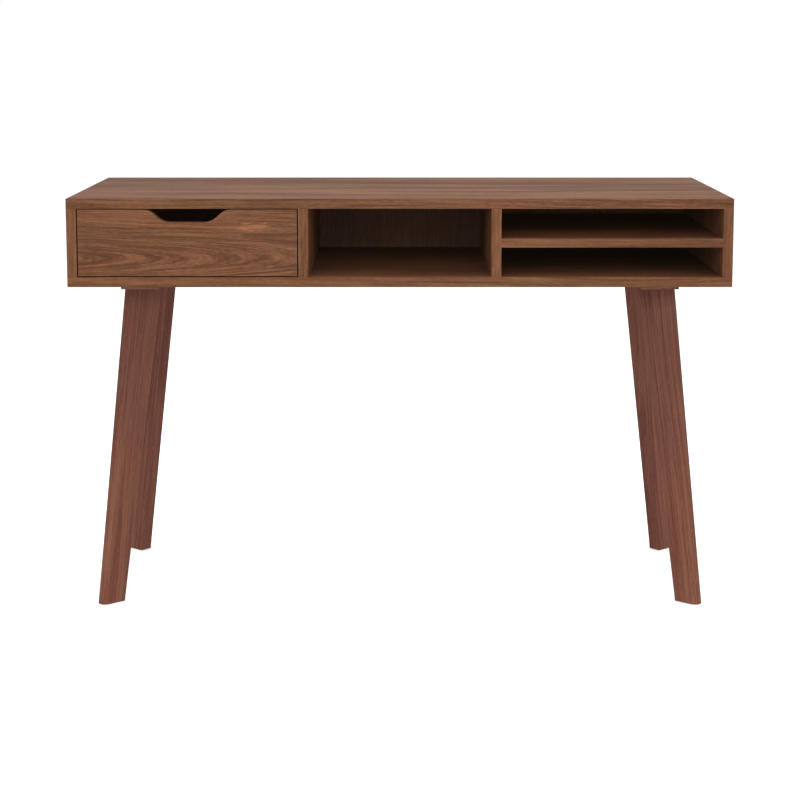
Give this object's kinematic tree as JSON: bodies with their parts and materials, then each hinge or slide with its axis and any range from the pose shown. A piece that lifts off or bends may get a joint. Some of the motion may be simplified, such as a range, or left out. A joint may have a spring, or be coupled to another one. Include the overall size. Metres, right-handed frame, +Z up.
{
  "type": "desk",
  "caption": "Walnut writing desk on splayed, tapered board legs, with a scooped inset drawer, an open middle cubby and stacked letter slots under a flat top.",
  "frame": {"origin": "on the floor, under the middle of the desk", "axes": "+Z up, +X to the right seen from the front, +Y from the front to the back"},
  "size_m": [1.2, 0.5, 0.765],
  "materials": {
    "walnut_veneer": "satin walnut veneer, grain along each board",
    "walnut_solid": "satin solid walnut, grain along the leg",
    "drawer_box_wood": "plain walnut-stained board",
    "drawer_ply": "thin stained plywood",
    "dowel_beech": "raw beech",
    "zinc_steel": "bright zinc plate",
    "ball_steel": "polished",
    "insert_brass": "plain turned",
    "glide_nylon": "matt"
  },
  "bodies": {
    "carcass": {"back_panel": "walnut_veneer", "back_panel_dowels": "dowel_beech", "bottom_panel": "walnut_veneer", "carcass_bottom_screws": "zinc_steel", "carcass_top_dowels": "dowel_beech", "foot_glides": "glide_nylon", "insert_nuts": "insert_brass", "left_divider": "walnut_veneer", "left_side_panel": "walnut_veneer", "left_slide_outer": "zinc_steel", "leg_back_left": "walnut_solid", "leg_back_right": "walnut_solid", "leg_front_left": "walnut_solid", "leg_front_right": "walnut_solid", "leg_pad_back_left": "walnut_solid", "leg_pad_back_right": "walnut_solid", "leg_pad_bolts": "zinc_steel", "leg_pad_front_left": "walnut_solid", "leg_pad_front_right": "walnut_solid", "leg_pad_washers": "zinc_steel", "leg_screws": "zinc_steel", "letter_shelf": "walnut_veneer", "right_divider": "walnut_veneer", "right_side_panel": "walnut_veneer", "right_slide_outer": "zinc_steel", "shelf_dowels": "dowel_beech", "slide_fixed_screws": "zinc_steel", "top_panel": "walnut_veneer"},
    "drawer": {"drawer_back": "drawer_box_wood", "drawer_back_screws": "zinc_steel", "drawer_bottom": "drawer_ply", "drawer_bottom_screws": "zinc_steel", "drawer_front": "walnut_veneer", "drawer_front_dowels": "dowel_beech", "drawer_left_side": "drawer_box_wood", "drawer_right_side": "drawer_box_wood", "left_slide_inner": "zinc_steel", "right_slide_inner": "zinc_steel", "slide_drawer_screws": "zinc_steel"},
    "left_slide_mid": {"left_slide_mid": "zinc_steel"},
    "left_outer_race": {"left_outer_ball_cage": "zinc_steel", "left_outer_balls": "ball_steel"},
    "left_inner_race": {"left_inner_ball_cage": "zinc_steel", "left_inner_balls": "ball_steel"},
    "right_slide_mid": {"right_slide_mid": "zinc_steel"},
    "right_outer_race": {"right_outer_ball_cage": "zinc_steel", "right_outer_balls": "ball_steel"},
    "right_inner_race": {"right_inner_ball_cage": "zinc_steel", "right_inner_balls": "ball_steel"}
  },
  "joints": [
    {"name": "drawer_slide", "type": "slide", "parent": "carcass", "child": "drawer", "axis": [0, -1, 0], "range_m": [0, 0.43]},
    {"name": "left_slide_mid_travel", "type": "slide", "parent": "carcass", "child": "left_slide_mid", "axis": [0, -1, 0], "range_m": [0, 0.215]},
    {"name": "left_outer_race_travel", "type": "slide", "parent": "carcass", "child": "left_outer_race", "axis": [0, -1, 0], "range_m": [0, 0.1075]},
    {"name": "left_inner_race_travel", "type": "slide", "parent": "carcass", "child": "left_inner_race", "axis": [0, -1, 0], "range_m": [0, 0.3225]},
    {"name": "right_slide_mid_travel", "type": "slide", "parent": "carcass", "child": "right_slide_mid", "axis": [0, -1, 0], "range_m": [0, 0.215]},
    {"name": "right_outer_race_travel", "type": "slide", "parent": "carcass", "child": "right_outer_race", "axis": [0, -1, 0], "range_m": [0, 0.1075]},
    {"name": "right_inner_race_travel", "type": "slide", "parent": "carcass", "child": "right_inner_race", "axis": [0, -1, 0], "range_m": [0, 0.3225]}
  ],
  "couplings": [
    {"joint": "left_slide_mid_travel", "follows": "drawer_slide", "ratio": 0.5},
    {"joint": "left_outer_race_travel", "follows": "drawer_slide", "ratio": 0.25},
    {"joint": "left_inner_race_travel", "follows": "drawer_slide", "ratio": 0.75},
    {"joint": "right_slide_mid_travel", "follows": "drawer_slide", "ratio": 0.5},
    {"joint": "right_outer_race_travel", "follows": "drawer_slide", "ratio": 0.25},
    {"joint": "right_inner_race_travel", "follows": "drawer_slide", "ratio": 0.75}
  ]
}
